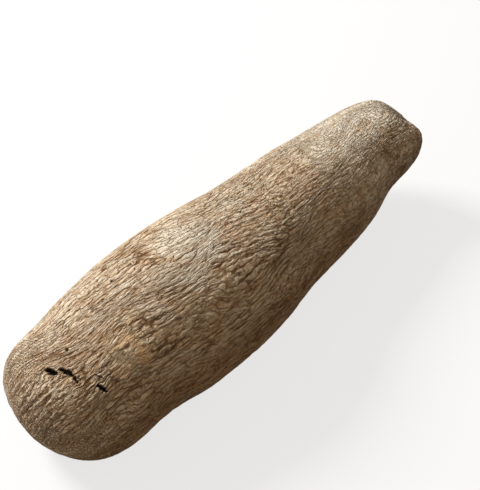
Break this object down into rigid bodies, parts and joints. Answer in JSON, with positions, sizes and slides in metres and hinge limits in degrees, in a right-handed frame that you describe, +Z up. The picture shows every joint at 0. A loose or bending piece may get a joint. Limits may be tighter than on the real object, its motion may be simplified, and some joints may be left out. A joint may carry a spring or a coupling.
{
  "type": "yam tuber",
  "caption": "Whole elongated yam tuber with dry wrinkled bark-like skin, a broad rounded end and a narrower crown, lying on its side.",
  "frame": {"origin": "on the resting surface, under the middle of the tuber's bounding box", "axes": "+X along the tuber from the broad growing end to the narrower crown, +Z up from the surface it rests on"},
  "size_m": [0.3, 0.0966, 0.089],
  "materials": {
    "yam_skin": "dry corky bark-like skin, matt, with fine wavy lengthwise wrinkles"
  },
  "bodies": {
    "root": {"yam_tuber": "yam_skin"}
  },
  "joints": []
}
